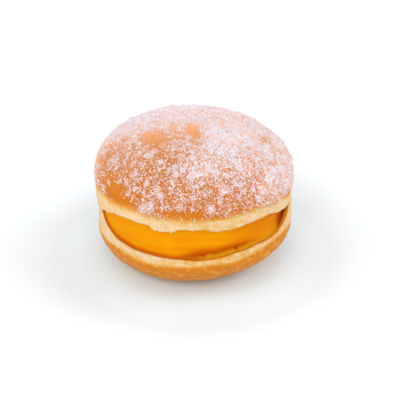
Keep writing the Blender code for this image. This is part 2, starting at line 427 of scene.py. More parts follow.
@dataclass(frozen=True)
class SugarSpot:
    """A place on the dome where sugar lies thicker, or where the crust is bare."""

    centre: tuple[float, float, float]
    size: float
    strength: float = 1.0
    stretch: tuple[float, float, float] = (1.0, 1.0, 1.0)
    edge: float = 4.0

    def weight(self, point: Vector) -> float:
        """The spot's strength in its middle, falling to 0 outside it."""
        parts = ((point[axis] - self.centre[axis]) / self.stretch[axis] for axis in range(3))
        reach = math.sqrt(sum(part ** 2 for part in parts))
        return self.strength * math.exp(-((reach / self.size) ** self.edge))


@dataclass(frozen=True)
class SugarCover:
    """How thickly sugar lies on the dome, with heaps, thin places and bare spots."""

    edge: float = 0.0408
    edge_width: float = 0.0034
    edge_crag: Wrinkle = Wrinkle(260.0, 0.0012)
    dips: tuple[tuple[float, float, float], ...] = (
        (-92.0, 16.0, 0.0022), (-34.0, 11.0, 0.0020), (42.0, 12.0, 0.0022), (73.0, 18.0, 0.0062),
    )
    # Painted back-light sheen: whitening that grows toward the back of the dome, less at one clear spot
    back_sheen_most: float = 0.75
    back_sheen_start: float = -0.030
    back_sheen_end: float = 0.022
    back_sheen_clear: SugarSpot = SugarSpot((-0.0380, -0.0100, 0.0500), 0.0150, 0.80, edge=2.0)
    film_heaped: float = 0.9
    heaped_from: float = 0.5
    thin: float = 0.49
    clump_gain: float = 0.40
    patches: tuple[Wrinkle, ...] = (
        Wrinkle(140.0, 0.09), Wrinkle(430.0, 0.16), Wrinkle(900.0, 0.14, 11.0),
    )
    drifts: tuple[SugarSpot, ...] = (
        SugarSpot((0.014, -0.011, 0.0605), 0.0165, 0.80, edge=2.0),
        SugarSpot((0.038, -0.004, 0.0520), 0.0180, 0.55, edge=2.0),
        SugarSpot((0.000, 0.029, 0.0580), 0.0230, 0.75, (1.7, 1.0, 1.0), 2.0),
        SugarSpot((-0.027, 0.018, 0.0560), 0.0120, 0.40, edge=2.0),
        SugarSpot((0.032, -0.024, 0.0500), 0.0120, 0.55, edge=2.0),
        SugarSpot((0.026, -0.031, 0.0505), 0.0110, 0.30, edge=2.0),
        SugarSpot((0.0106, -0.0192, 0.0607), 0.0050, 0.60, edge=2.0),
        SugarSpot((0.0084, -0.0076, 0.0622), 0.0050, 0.60, edge=2.0),
        SugarSpot((0.0154, -0.0278, 0.0576), 0.0050, 0.50, edge=2.0),
        SugarSpot((-0.0003, -0.0315, 0.0577), 0.0045, 0.45, edge=2.0),
        SugarSpot((0.0016, -0.0273, 0.0597), 0.0085, 0.55, edge=2.0),
        SugarSpot((-0.0048, -0.0290, 0.0585), 0.0065, 0.40, edge=2.0),
    )
    clumps: tuple[SugarSpot, ...] = (
        SugarSpot((-0.0159, -0.0116, 0.0611), 0.0020),
        SugarSpot((-0.0198, -0.0145, 0.0601), 0.0018),
        SugarSpot((0.0232, -0.0351, 0.0488), 0.0024),
        SugarSpot((-0.0002, -0.0430, 0.0459), 0.0018),
        SugarSpot((-0.0060, -0.0326, 0.0570), 0.0020),
        SugarSpot((0.0057, -0.0383, 0.0532), 0.0024),
        SugarSpot((0.0271, -0.0307, 0.0508), 0.0022),
        SugarSpot((-0.0264, -0.0342, 0.0444), 0.0022, 0.6, (1.5, 1.5, 0.8)),
    )
    bare: tuple[SugarSpot, ...] = (
        SugarSpot((-0.0384, -0.0208, 0.0464), 0.0062, 1.0, (1.0, 1.0, 0.80)),
        SugarSpot((-0.0406, -0.0140, 0.0466), 0.0032, 0.80),
        SugarSpot((-0.0355, -0.0262, 0.0432), 0.0066, 1.0, (1.0, 1.0, 0.45)),
        SugarSpot((-0.0007, -0.0042, 0.0626), 0.0034, 0.80, (0.9, 2.4, 1.0), 3.0),
        SugarSpot((-0.0188, -0.0062, 0.0605), 0.0046, 0.70, (1.1, 1.5, 1.0), 3.0),
        SugarSpot((-0.0105, -0.0060, 0.0620), 0.0070, 0.35, (1.5, 0.9, 1.0), 2.0),
        SugarSpot((0.0299, -0.0063, 0.0577), 0.0034, 0.50, edge=2.0),
        SugarSpot((-0.0390, -0.0060, 0.0495), 0.0120, 0.15, edge=2.0),
        SugarSpot((-0.0126, -0.0413, 0.0440), 0.0060, 0.9, (1.8, 1.0, 0.4)),
    )

    def at(self, point: Vector) -> float:
        """Share of the crust that sugar hides at a point, from 0 to 1."""
        open_crust = 1.0 - self.thin
        for drift in self.drifts:
            open_crust *= 1.0 - drift.weight(point)
        cover = 1.0 - open_crust
        cover += sum(patch.at(point) for patch in self.patches)
        for clump in self.clumps:
            cover += self.clump_gain * clump.weight(point)
        direction = bearing(point.x, point.y)
        ragged = self.edge + self.edge_crag.at(point)
        for centre, spread, drop in self.dips:
            ragged -= drop * bell((direction - centre) / spread)
        cover *= smooth_ramp((point.z - ragged) / self.edge_width)
        for spot in self.bare:
            cover *= 1.0 - spot.weight(point)
        return min(max(cover, 0.0), 1.0)

    def film_and_sheen(self, point: Vector) -> float:
        """Fine sugar too small to see as grains, and a painted back-light sheen, which whiten the crust.
        """
        away = ramp_between(point.y, self.back_sheen_start, self.back_sheen_end)
        high = smooth_ramp((point.z - self.edge - self.edge_width) / self.edge_width)
        strength = self.back_sheen_most * away * high * (1.0 - self.back_sheen_clear.weight(point))
        heaped = max(self.at(point) - self.heaped_from, 0.0)
        return min(strength + self.film_heaped * heaped, 1.0)


@dataclass(frozen=True)
class LipFlap:
    """A stretch of the upper lip that hangs lower, or arches higher, than the rest."""

    stretch: Stretch
    drop: float

    def hang(self, direction: float) -> float:
        """How far the lip hangs at a direction round the doughnut, in degrees."""
        return self.drop * self.stretch.at(direction)


@dataclass
class TopHalf:
    """Upper half: sugared dome, pale collar, ragged lip and upper cut face."""

    form: DoughForm
    cover: SugarCover
    slices: int = 5
    dome_rings: int = 96
    collar_rings: int = 44
    lip_rings: int = 7
    cut_rings: tuple[float, ...] = (0.0415, 0.0400, 0.0392, 0.0375, 0.0300, 0.0230, 0.0160, 0.0080, 0.0)
    bake_line: BakeLine = BakeLine(
        0.0412, 0.0058,
        ((-92.0, 16.0, -0.0022), (-61.0, 9.0, -0.0009), (28.0, 13.0, 0.0014), (69.0, 17.0, -0.0050)),
    )
    relief: Relief = Relief(
        crust=(Wrinkle(120.0, 0.00030), Wrinkle(380.0, 0.00007, 3.0)),
        crumb=(Wrinkle(420.0, 0.00020), Wrinkle(900.0, 0.00014, 5.0)),
    )
    flaps: tuple[LipFlap, ...] = (
        LipFlap(Stretch(Rise(-36.5, 2.5), Rise(-23.0, 4.0)), 0.0012),
        LipFlap(Stretch(Rise(-21.0, 5.0), Rise(-6.0, 6.0)), -0.0006),
        LipFlap(Stretch(Rise(-2.0, 3.0), Rise(12.0, 7.0)), 0.0009),
        LipFlap(Stretch(Rise(41.0, 6.0), Rise(60.0, 8.0)), 0.0007),
    )
    crag_scale: float = 820.0
    crag_depth: float = 0.0009
    torn_from: Rise = Rise(-45.0, 15.0)
    least_torn: float = 0.3
    soak_inset: float = 0.0004
    soak_fade: float = 0.0014

    def build(self, material: bpy.types.Material) -> bpy.types.Object:
        """Turn, shape and paint the half.

        Args:
            material: Finish of the sugared crust and the crumb.

        Returns:
            The dressed half.
        """
        shell = spun(self.profile(), self.slices)
        self.shape(shell)
        self.roughen(shell)
        self.paint(shell)
        return finished("berliner_top", shell, material)

    def profile(self) -> list[tuple[float, float]]:
        """Down the dome and the collar, round the lip, and in along the cut face."""
        form = self.form
        points = []
        for share in spread_points(self.dome_rings):
            angle = 0.5 * math.pi * (1.0 - share)
            radius = form.upper_radius * max(math.cos(angle), 0.0) ** (2.0 / form.dome_exponent)
            height = form.dome_start + form.dome_rise * math.sin(angle) ** (2.0 / form.dome_exponent)
            points.append((radius if share else 0.0, height))
        top = form.dome_start
        bottom = form.cut_height + form.lip_round
        for share in spread_points(self.collar_rings)[1:]:
            height = top + (bottom - top) * share
            points.append((form.wall_radius(height), height))
        centre = form.wall_radius(form.cut_height) - form.lip_round
        for share in spread_points(self.lip_rings)[1:]:
            angle = 0.5 * math.pi * share
            drop = form.lip_round * math.sin(angle)
            points.append((centre + form.lip_round * math.cos(angle), bottom - drop))
        return points + [(radius, form.cut_height) for radius in self.cut_rings]

    def shape(self, shell: bmesh.types.BMesh) -> None:
        """Raise the lip at the mouth, sink the hollow and make the form uneven."""
        form = self.form
        for vertex in shell.verts:
            x, y, z = vertex.co
            rise = form.upper_lip(x, y) - form.cut_height - self.hang(x, y)
            if z < form.cut_height + TINY:
                vertex.co = form.uneven(Vector((x, y, form.cut_height + rise + form.hollow(x, y))))
            elif z < form.dome_start:
                fade = 1.0 - ramp_between(z, form.cut_height, form.dome_start)
                vertex.co = form.uneven(form.on_wall(vertex.co, z + rise * fade))
            else:
                vertex.co = form.uneven(vertex.co)

    def hang(self, x: float, y: float) -> float:
        """How far torn crumb hangs below the lip, which is none where the cut is shut."""
        form = self.form
        opened = form.opening(x, y, form.upper_lip_hinge, form.upper_lip_reach, form.upper_lip_ease)
        direction = bearing(x, y)
        flap = sum(flap.hang(direction) for flap in self.flaps)
        torn = max(noise.noise(Vector((x, y, 0.0)) * self.crag_scale), 0.0) * self.crag_depth
        ragged = self.least_torn + (1.0 - self.least_torn) * self.torn_from.at(direction)
        outer = ramp_between(math.hypot(x, y), form.hollow_floor, form.hollow_edge)
        return opened * outer * (flap + ragged * torn)

    def roughen(self, shell: bmesh.types.BMesh) -> None:
        """Raise the fine relief of the crust and of the crumb along the surface."""
        shell.normal_update()
        for vertex in shell.verts:
            point = vertex.co.copy()
            inside = math.hypot(point.x, point.y) < self.form.hollow_floor
            if inside and point.z < self.form.dome_start:
                continue
            baked = self.bake_line.bake(point, above=True)
            vertex.co = point + vertex.normal * self.relief.at(point, baked)

    def paint(self, shell: bmesh.types.BMesh) -> None:
        """Paint how browned it is, how much sugar lies on it, and a painted back-light sheen."""
        form = self.form
        bake = shell.verts.layers.float.new(Layer.BAKE.value)
        dust = shell.verts.layers.float.new(Layer.DUST.value)
        sugar_and_sheen = shell.verts.layers.float.new(Layer.SUGAR_AND_SHEEN.value)
        soak = shell.verts.layers.float.new(Layer.SOAK.value)
        for vertex in shell.verts:
            point = vertex.co
            vertex[bake] = self.bake_line.bake(point, above=True)
            vertex[dust] = self.cover.at(point)
            # Fine sugar and a painted back-light sheen, which whiten the crust
            vertex[sugar_and_sheen] = self.cover.film_and_sheen(point)
            if point.z < form.dome_start:
                inward = form.hollow_edge - self.soak_inset - point.xy.length
                vertex[soak] = smooth_ramp(inward / self.soak_fade)


@dataclass
class BottomHalf:
    """Lower half: lower cut face, lip, pale collar and browned underside."""

    form: DoughForm
    slices: int = 5
    cut_rings: tuple[float, ...] = (
        0.0, 0.0080, 0.0160, 0.0230, 0.0300, 0.0375, 0.0392, 0.0400, 0.0408, 0.0415,
    )
    lip_rings: int = 7
    collar_rings: int = 44
    underside_rings: int = 60
    bake_line: BakeLine = BakeLine(
        0.0172, 0.0026, ((48.0, 30.0, 0.0044), (0.0, 12.0, 0.0009), (-60.0, 14.0, 0.0008)),
        (Wrinkle(90.0, 0.0005), Wrinkle(300.0, 0.0002, 7.0)), 0.26, 42.0,
    )
    relief: Relief = Relief(
        crust=(Wrinkle(120.0, 0.00030), Wrinkle(380.0, 0.00006, 3.0)),
        crumb=(Wrinkle(420.0, 0.00018), Wrinkle(900.0, 0.00012, 5.0)),
    )
    foot: float = 0.0012
    facing_up: Rise = Rise(0.1, 0.5)
    face_fade: float = 0.002
    wet: Stretch = Stretch(Rise(-12.0, 18.0), Rise(36.0, 16.0))
    dry: Rise = Rise(56.0, 12.0)
    soak_past: float = 0.0003
    wet_past: float = 0.0003
    dry_short: float = 0.0002
    soak_crag: Wrinkle = Wrinkle(420.0, 0.0005)
    soak_fade: float = 0.0009
    wet_fade: float = 0.0006

    def build(self, material: bpy.types.Material) -> bpy.types.Object:
        """Turn, shape and paint the half.

        Args:
            material: Finish of the browned crust and the crumb.

        Returns:
            The dressed half.
        """
        shell = spun(self.profile(), self.slices)
        self.shape(shell)
        self.roughen(shell)
        self.paint(shell)
        return finished("berliner_bottom", shell, material)

    def profile(self) -> list[tuple[float, float]]:
        """Out along the cut face, round the lip, and down the collar and the underside."""
        form = self.form
        points = [(radius, form.cut_height) for radius in self.cut_rings]
        centre = form.wall_radius(form.cut_height) - form.lip_round
        top = form.cut_height - form.lip_round
        for share in spread_points(self.lip_rings)[:-1]:
            angle = 0.5 * math.pi * (1.0 - share)
            rise = form.lip_round * math.sin(angle)
            points.append((centre + form.lip_round * math.cos(angle), top + rise))
        for share in spread_points(self.collar_rings)[:-1]:
            height = top + (form.underside_top - top) * share
            points.append((form.wall_radius(height), height))
        for share in spread_points(self.underside_rings):
            angle = 0.5 * math.pi * share
            spread = max(math.cos(angle), 0.0) ** (2.0 / form.underside_exponent)
            radius = form.base_radius + (form.lower_radius - form.base_radius) * spread
            height = form.underside_top * (1.0 - math.sin(angle) ** (2.0 / form.underside_exponent))
            points.append((radius, max(height, 0.0)))
        return points + [(0.5 * form.base_radius, 0.0), (0.0, 0.0)]

    def shape(self, shell: bmesh.types.BMesh) -> None:
        """Lower the lip at the mouth, sink the hollow, shift the half and make it uneven."""
        form = self.form
        for vertex in shell.verts:
            x, y, z = vertex.co
            drop = form.cut_height - form.lower_lip(x, y)
            if z > form.cut_height - TINY:
                shaped = Vector((x, y, form.cut_height - drop - form.hollow(x, y)))
            else:
                fade = ramp_between(z, form.lower_bend_start, form.cut_height)
                shaped = form.on_wall(vertex.co, z - drop * fade)
            vertex.co = form.uneven(shaped + Vector((form.lower_shift, 0.0, 0.0)))

    def roughen(self, shell: bmesh.types.BMesh) -> None:
        """Raise the fine relief of the crust and of the crumb, and leave the foot flat."""
        shell.normal_update()
        for vertex in shell.verts:
            point = vertex.co.copy()
            inside = math.hypot(point.x, point.y) < self.form.hollow_floor
            if inside and point.z > self.form.underside_top:
                continue
            baked = self.bake_line.bake(point, above=False)
            clear = smooth_ramp(point.z / self.foot)
            vertex.co = point + vertex.normal * clear * self.relief.at(point, baked)

    def paint(self, shell: bmesh.types.BMesh) -> None:
        """Paint how browned the surface is and where custard has soaked the crumb."""
        form = self.form
        shell.normal_update()
        bake = shell.verts.layers.float.new(Layer.BAKE.value)
        soak = shell.verts.layers.float.new(Layer.SOAK.value)
        for vertex in shell.verts:
            point = vertex.co
            radius = math.hypot(point.x - form.lower_shift, point.y)
            direction = bearing(point.x, point.y)
            high = Rise(form.underside_top, self.face_fade).at(point.z)
            wet = self.wet.at(direction)
            past = self.soak_past + self.wet_past * wet - self.dry_short * self.dry.at(direction)
            reach = form.hollow_edge + past + self.soak_crag.at(point)
            fade = self.soak_fade + self.wet_fade * wet
            vertex[bake] = self.bake_line.bake(point, above=False)
            level = self.facing_up.at(vertex.normal.z)
            vertex[soak] = level * high * smooth_ramp((reach - radius) / fade)


@dataclass(frozen=True)
class CustardShade:
    """Painted shade on the custard, by direction and by height in the mouth, deepest in the cavity."""

    # Painted shade: darker at the foot where the custard curves under, under the upper lip, and toward
    # both ends
    front: Stretch = Stretch(Rise(-24.0, 18.0), Rise(14.0, 26.0))
    low_start: float = 0.04
    low_start_front: float = 0.08
    low_span: float = 0.14
    low_span_front: float = 0.18
    low_gain: float = 0.90
    low_gain_front: float = 0.25
    high: Rise = Rise(0.80, 0.20)
    high_gain: float = 0.45
    upper: Rise = Rise(0.15, 0.45)
    right: Rise = Rise(2.0, 30.0)
    right_gain: float = 0.26
    right_upper_gain: float = 0.26
    front_lower_gain: float = 0.22
    left: Rise = Rise(-20.0, -30.0)
    left_gain: float = 0.15
    # Painted shade in the cavity at the right end of the mouth
    inside: Rise = Rise(48.0, 12.0)
    inside_gain: float = 0.95
    deepest: float = 1.5

    def at(self, direction: float, share: float) -> float:
        """Depth of the painted shade at a place on the custard's side.

        Args:
            direction: Place round the doughnut, in degrees from the mouth.
            share: Height between the bottom, 0, and the top, 1.

        Returns:
            0 where it is unshaded and 1 where the painted shade is deep, and more than 1 in the cavity.
        """
        front = self.front.at(direction)
        start = self.low_start + self.low_start_front * front
        span = self.low_span + self.low_span_front * front
        low = (self.low_gain + self.low_gain_front * front) * (1.0 - Rise(start, span).at(share))
        upper = self.upper.at(share)
        right = self.right.at(direction) * (self.right_gain + self.right_upper_gain * upper)
        lower = self.front_lower_gain * front * (1.0 - upper)
        sides = self.left_gain * self.left.at(direction) + self.inside_gain * self.inside.at(direction)
        return min(low + self.high_gain * self.high.at(share) + right + lower + sides, self.deepest)


@dataclass(frozen=True)
class RimCrumbs:
    """Crumbs of the rim that are worked into the foot of the custard at the front."""

    height: float = 0.15
    solid: float = 0.4
    front: Stretch = Stretch(Rise(-16.0, 18.0), Rise(46.0, 14.0))
    crags: tuple[Wrinkle, ...] = (Wrinkle(380.0, 0.10), Wrinkle(900.0, 0.05))

    def at(self, point: Vector, share: float) -> float:
        """How crumbed the custard is at a point, at a share of its height."""
        front = self.front.at(bearing(point.x, point.y))
        ragged = share + sum(crag.at(point) for crag in self.crags)
        return front * (1.0 - Rise(self.solid * self.height, self.height).at(ragged))


@dataclass
class CustardFilling:
    """Custard between the cut faces, bulging out of the mouth."""

    form: DoughForm
    radius: float = 0.0405
    back_radius: float = 0.0370
    back_from: Rise = Rise(90.0, 35.0)
    gap: float = 0.0001
    cavity_direction: float = 64.0
    cavity_width: float = 13.0
    cavity_depth: float = 0.0013
    corner_direction: float = 80.0
    corner_width: float = 13.0
    corner_fill: float = 0.0008
    painted_shade: CustardShade = CustardShade()
    crumbs: RimCrumbs = RimCrumbs()
    slices: int = 4
    side_rings: int = 40
    inner_rings: tuple[float, ...] = (0.0375, 0.0300, 0.0230, 0.0160, 0.0080, 0.0)
    bulge: tuple[tuple[float, float], ...] = (
        (1.0, -0.0013), (0.86, -0.0005), (0.6, 0.0), (0.34, 0.0),
        (0.14, 0.0001), (0.05, 0.0006), (0.0, 0.0013),
    )
    smear: float = 0.00022
    smear_waves: tuple[float, float] = (70.0, 260.0)
    smear_inside: float = 0.002

    def build(self, material: bpy.types.Material) -> bpy.types.Object:
        """Turn and shape the custard.

        Args:
            material: Finish of the custard.

        Returns:
            The dressed custard.
        """
        shell = spun(self.profile(), self.slices)
        self.shape(shell)
        return finished("custard_filling", shell, material)

    def standing_out(self, share: float) -> float:
        """How far the side stands out from the custard's radius, at a share of its height."""
        for (high, above), (low, below) in zip(self.bulge, self.bulge[1:]):
            if share >= low:
                return below + (above - below) * ramp_between(share, low, high)
        return self.bulge[-1][1]

    def profile(self) -> list[tuple[float, float]]:
        """Custard at +X, its height running from 1 at the top face to 0 at the bottom face."""
        top = [(radius, 1.0) for radius in reversed(self.inner_rings)]
        heights = [1.0 - share for share in spread_points(self.side_rings)]
        side = [(self.radius + self.standing_out(height), height) for height in heights]
        bottom = [(radius, 0.0) for radius in self.inner_rings]
        return top + side + bottom

    def reach(self, x: float, y: float) -> float:
        """Outer radius of the custard in the direction of a point."""
        direction = bearing(x, y)
        toward_back = self.back_from.at(abs(direction))
        cavity = bell((direction - self.cavity_direction) / self.cavity_width)
        corner = bell((abs(direction) - self.corner_direction) / self.corner_width)
        shaped = self.corner_fill * corner - self.cavity_depth * cavity
        return self.radius + (self.back_radius - self.radius) * toward_back + shaped

    def shape(self, shell: bmesh.types.BMesh) -> None:
        """Fill the space between the two cut faces, and smear the visible side a little."""
        form = self.form
        painted_shade = shell.verts.layers.float.new(Layer.PAINTED_SHADE.value)
        soak = shell.verts.layers.float.new(Layer.SOAK.value)
        for vertex in shell.verts:
            share = vertex.co.z
            # Painted shade, by which the custard's material darkens its colour
            vertex[painted_shade] = self.painted_shade.at(bearing(vertex.co.x, vertex.co.y), share)
            scale = self.reach(vertex.co.x, vertex.co.y) / self.radius
            x = vertex.co.x * scale
            y = vertex.co.y * scale
            low = form.lower_lip(x, y) - form.hollow(x, y) + self.gap
            high = form.upper_lip(x, y) + form.hollow(x, y) - self.gap
            shift = form.lower_shift * (1.0 - share)
            vertex.co = form.uneven(Vector((x + shift, y, low + share * (high - low))))
            vertex[soak] = self.crumbs.at(vertex.co, share)
        shell.normal_update()
        for vertex in shell.verts:
            point = vertex.co.copy()
            if math.hypot(point.x, point.y) > self.back_radius - self.smear_inside:
                along, upward = self.smear_waves
                streak = noise.noise(Vector((point.x * along, point.y * along, point.z * upward)))
                vertex.co = point + vertex.normal * streak * self.smear


@dataclass(frozen=True)
class Texture:
    """A noise that a material reads.

    Attributes:
        scale: Waves of the noise in a metre.
        detail: Finer layers added to it.
        roughness: Strength of the finer layers.
        upright: How much denser the noise is upward than sideways.
    """

    scale: float
    detail: float
    roughness: float
    upright: float = 1.0


@dataclass(frozen=True)
class Softness:
    """How light scatters under a surface, by the same amount all over."""

    weight: float
    radius: tuple[float, float, float]
    scale: float


class Board:
    """Node tree of one material, with short ways to add and join nodes."""

    def __init__(self, name: str) -> None:
        """Start a material with only its output and Principled shader."""
        self.material = bpy.data.materials.new(name)
        self.material.use_nodes = True
        self.tree = self.material.node_tree
        self.shader = self.tree.nodes["Principled BSDF"]

    def add(self, kind: str, **values: object) -> bpy.types.Node:
        """Add a node and set its properties or, where the name is a socket's, that input."""
        node = self.tree.nodes.new(kind)
        for key, value in values.items():
            label = key.replace("_", " ").title()
            if hasattr(node, key):
                setattr(node, key, value)
            else:
                node.inputs[label].default_value = value
        return node

    def join(self, source: Socket, target: Socket) -> None:
        """Link an output to an input."""
        self.tree.links.new(source, target)

    def feed(self, value: object, target: Socket) -> None:
        """Give an input its value, which is an output to link, a number or a linear colour."""
        if isinstance(value, Socket):
            self.join(value, target)
        else:
            target.default_value = value

    def coordinates(self) -> Socket:
        """Object coordinates of the piece."""
        return self.add("ShaderNodeTexCoord").outputs["Object"]

    def painted(self, layer: Layer) -> Socket:
        """Value painted on the mesh."""
        return self.add("ShaderNodeAttribute", attribute_name=layer.value).outputs["Fac"]

    def noise(self, texture: Texture) -> Socket:
        """Noise from 0 to 1 on Object coordinates."""
        node = self.add(
            "ShaderNodeTexNoise",
            scale=texture.scale,
            detail=texture.detail,
            roughness=texture.roughness,
        )
        mapping = self.add("ShaderNodeMapping", scale=(1.0, 1.0, texture.upright))
        self.join(self.coordinates(), mapping.inputs["Vector"])
        self.join(mapping.outputs["Vector"], node.inputs["Vector"])
        return node.outputs["Fac"]

    def swing(self, texture: Texture, width: float, clamp: bool = False) -> Socket:
        """Noise that swings about 0 as wide as asked, half of it to either side."""
        return self.math("MULTIPLY", self.math("SUBTRACT", self.noise(texture), 0.5), width, clamp)

    def math(self, operation: str, first: object, second: object, clamp: bool = False) -> Socket:
        """One arithmetic step on numbers or outputs."""
        node = self.add("ShaderNodeMath", operation=operation, use_clamp=clamp)
        self.feed(first, node.inputs[0])
        self.feed(second, node.inputs[1])
        return node.outputs[0]

    def ramp(self, factor: Socket, places: tuple[float, ...], colours: tuple[Colour, ...]) -> Socket:
        """Colours along a factor.

        Args:
            factor: Output that picks the place along the ramp.
            places: Places from 0 to 1 at which the colours lie.
            colours: The linear colour at each place.

        Returns:
            The colour output.
        """
        node = self.add("ShaderNodeValToRGB")
        elements = node.color_ramp.elements
        while len(elements) < len(places):
            elements.new(0.5)
        for element, place_along, colour in zip(elements, places, colours):
            element.position = place_along
            element.color = colour
        self.join(factor, node.inputs["Fac"])
        return node.outputs["Color"]

    def blend(self, factor: Socket, under: object, over: object) -> Socket:
        """Mix of two colours, each an output or a linear colour."""
        node = self.add("ShaderNodeMix", data_type="RGBA")
        factor_input, under_input, over_input = (node.inputs[index] for index in (0, 6, 7))
        self.join(factor, factor_input)
        self.feed(under, under_input)
        self.feed(over, over_input)
        return node.outputs[2]

    def surface(self, colour: object, roughness: object, specular: float) -> None:
        """Give the shader its colour, its roughness and its shine."""
        self.feed(colour, self.shader.inputs["Base Color"])
        self.feed(roughness, self.shader.inputs["Roughness"])
        self.shader.inputs["Specular IOR Level"].default_value = specular

    def bump(self, texture: Texture, distance: float) -> None:
        """Bump of a noise, so many metres deep, on the shader's normal."""
        height = self.noise(texture)
        node = self.add("ShaderNodeBump", strength=1.0, distance=distance)
        self.join(height, node.inputs["Height"])
        self.join(node.outputs["Normal"], self.shader.inputs["Normal"])

    def soften(self, softness: Softness) -> None:
        """Let light scatter under the surface."""
        self.shader.inputs["Subsurface Weight"].default_value = softness.weight
        self.shader.inputs["Subsurface Radius"].default_value = softness.radius
        self.shader.inputs["Subsurface Scale"].default_value = softness.scale


@dataclass(frozen=True)
class DoughFinish:
    """Fried dough: browned crust that fades through gold into pale crumb."""

    name: str
    crumb: Colour = linear(223, 187, 147)
    cream: Colour = linear(216, 172, 100)
    gold: Colour = linear(212, 150, 60)
    brown: Colour = linear(207, 124, 27)
    deep: Colour = linear(198, 109, 8)
    soaked: Colour = linear(222, 136, 20)
    fleck: Colour = linear(240, 218, 182)
    # Peach, then white, where fine sugar and the painted back-light sheen whiten the crust
    peach: Colour = linear(244, 172, 118)
    dust: Colour = linear(255, 222, 210)
    # Painted shade between sugar grains, darkening the crust where they lie
    shaded: Colour = linear(184, 97, 38)
    bake_steps: tuple[float, ...] = (0.0, 0.24, 0.50, 0.80, 1.0)
    crust_roughness: float = 0.42
    crumb_roughness: float = 0.75
    specular: float = 0.06
    crumb_bake: float = 0.03
    mottle: float = 1.1
    mottling: Texture = Texture(360.0, 5.0, 0.7)
    streaks: float = 0.3
    streaking: Texture = Texture(90.0, 3.0, 0.6, 3.5)
    flecks: float = 3.5
    flecking: Texture = Texture(1100.0, 3.0, 0.6)
    fleck_end: float = 0.8
    speckles: float = 0.9
    speckling: Texture = Texture(2600.0, 2.0, 0.7)
    speckled_most: float = 0.4
    shaded_most: float = 0.50
    film_gain: float = 2.0
    white_from: float = 0.9
    relief: Texture = Texture(1300.0, 4.0, 0.65)
    relief_depth: float = 0.00026
    softness: Softness = Softness(0.25, (1.0, 0.5, 0.22), 0.003)

    def make(self, dusted: bool) -> bpy.types.Material:
        """Build the material.

        Args:
            dusted: Whether the surface carries sugar dust.

        Returns:
            The material, which reads the painted layers.
        """
        board = Board(self.name)
        wander = board.swing(self.mottling, self.mottle)
        streak = board.swing(self.streaking, self.streaks)
        least = board.math("MAXIMUM", board.painted(Layer.BAKE), self.crumb_bake)
        baked = board.math("ADD", board.math("ADD", least, streak), wander, clamp=True)
        tones = (self.crumb, self.cream, self.gold, self.brown, self.deep)
        colour = board.ramp(baked, self.bake_steps, tones)
        flecks = board.swing(self.flecking, self.flecks, clamp=True)
        pale = board.math("MULTIPLY", flecks, board.math("SUBTRACT", self.fleck_end, baked, clamp=True))
        colour = board.blend(pale, colour, self.fleck)
        rough = board.add("ShaderNodeMapRange", to_min=self.crumb_roughness, to_max=self.crust_roughness)
        board.join(baked, rough.inputs["Value"])
        colour = board.blend(board.painted(Layer.SOAK), colour, self.soaked)
        if dusted:
            colour = self.dusting(board, colour)
        board.surface(colour, rough.outputs["Result"], self.specular)
        board.bump(self.relief, self.relief_depth)
        board.soften(self.softness)
        return board.material

    def dusting(self, board: Board, crust: Socket) -> Socket:
        """Finest sugar and a painted back-light sheen over the crust, thicker where the paint says so.
        """
        speckle = board.swing(self.speckling, self.speckles)
        film_and_sheen = board.painted(Layer.SUGAR_AND_SHEEN)
        # Painted shade between the grains: the crust darkens where sugar lies, less under the whitening
        grain_shade_share = board.math("SUBTRACT", self.shaded_most, film_and_sheen, clamp=True)
        under = board.math("MULTIPLY", board.painted(Layer.DUST), grain_shade_share)
        crust = board.blend(under, crust, self.shaded)
        # Fine sugar and the painted back-light sheen whiten the crust, first to peach and then to white
        uneven = board.math("MULTIPLY", speckle, board.math("MINIMUM", film_and_sheen, self.speckled_most))
        patchy = board.math("ADD", film_and_sheen, uneven, clamp=True)
        warmed = board.math("MULTIPLY", patchy, self.film_gain, clamp=True)
        crust = board.blend(warmed, crust, self.peach)
        gained = board.math("MULTIPLY", patchy, self.film_gain)
        sugar_and_sheen = board.math("SUBTRACT", gained, self.white_from, clamp=True)
        return board.blend(sugar_and_sheen, crust, self.dust)


@dataclass(frozen=True)
class CustardFinish:
    """Smooth vanilla custard with a soft gloss, darkened by painted shade."""

    light: Colour = linear(228, 154, 2)
    dark: Colour = linear(225, 136, 0)
    # Colour of the custard's painted shade at full depth
    deep: Colour = linear(197, 90, 0)
    # Painted shade deep in the cavity at the right end of the mouth
    painted_cavity_shade: Colour = linear(164, 58, 0)
    crumbed: Colour = linear(216, 142, 16)
    streaking: Texture = Texture(55.0, 4.0, 0.55, 5.0)
    streak_steps: tuple[float, ...] = (0.38, 0.62)
    cavity_shade_gain: float = 2.0
    crumbed_most: float = 0.85
    roughness: float = 0.4
    specular: float = 0.02
    relief: Texture = Texture(160.0, 4.0, 0.55, 3.0)
    relief_depth: float = 0.0004
    softness: Softness = Softness(0.4, (1.0, 0.35, 0.02), 0.003)

    def make(self) -> bpy.types.Material:
        """Build the material."""
        board = Board("custard")
        colour = board.ramp(board.noise(self.streaking), self.streak_steps, (self.dark, self.light))
        # Painted shade deepens the colour, and past 1 turns it toward the cavity's painted shade
        painted_shade = board.painted(Layer.PAINTED_SHADE)
        colour = board.blend(board.math("MINIMUM", painted_shade, 1.0), colour, self.deep)
        cavity_shade_share = board.math("MULTIPLY", board.math("SUBTRACT", painted_shade, 1.0), self.cavity_shade_gain, clamp=True)
        colour = board.blend(cavity_shade_share, colour, self.painted_cavity_shade)
        crumbs = board.math("MULTIPLY", board.painted(Layer.SOAK), self.crumbed_most)
        board.surface(board.blend(crumbs, colour, self.crumbed), self.roughness, self.specular)
        board.bump(self.relief, self.relief_depth)
        board.soften(self.softness)
        return board.material


